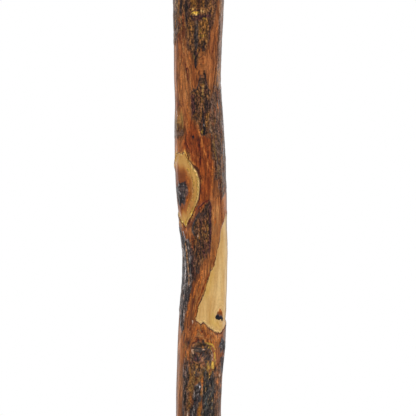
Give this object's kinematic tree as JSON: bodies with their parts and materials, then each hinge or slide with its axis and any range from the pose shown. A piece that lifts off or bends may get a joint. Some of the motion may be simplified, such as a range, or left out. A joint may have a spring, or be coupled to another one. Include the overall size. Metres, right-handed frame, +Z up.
{
  "type": "crook-handle cane",
  "caption": "Walking cane with a steam-bent crook handle, a knotty natural wood shaft, a metal joint collar and a push-on rubber ferrule.",
  "frame": {"origin": "middle of the ferrule's sole, where the cane meets the floor", "axes": "+Z up along the shaft's axis, +X from the shaft towards the nose of the crook, +Y to the back of the crook's plane"},
  "size_m": [0.1232, 0.038, 0.914],
  "materials": {
    "crook_wood": "clear satin lacquer over stained steam-bent hardwood",
    "collar_brass": "aged, softly polished",
    "stud_steel": "zinc-plated, threaded",
    "shaft_wood": "clear gloss lacquer over stained natural wood with bark left in the grooves",
    "ferrule_rubber": "matt moulded",
    "washer_steel": "bright zinc-plated"
  },
  "bodies": {
    "stick": {"shaft": "shaft_wood", "crook_handle": "crook_wood", "joint_collar": "collar_brass", "joint_stud": "stud_steel"},
    "ferrule": {"tip_ferrule": "ferrule_rubber", "ferrule_washer": "washer_steel"}
  },
  "joints": [
    {"name": "ferrule_pull", "type": "slide", "parent": "stick", "child": "ferrule", "axis": [0, 0, -1], "range_m": [0, 0.05]}
  ]
}
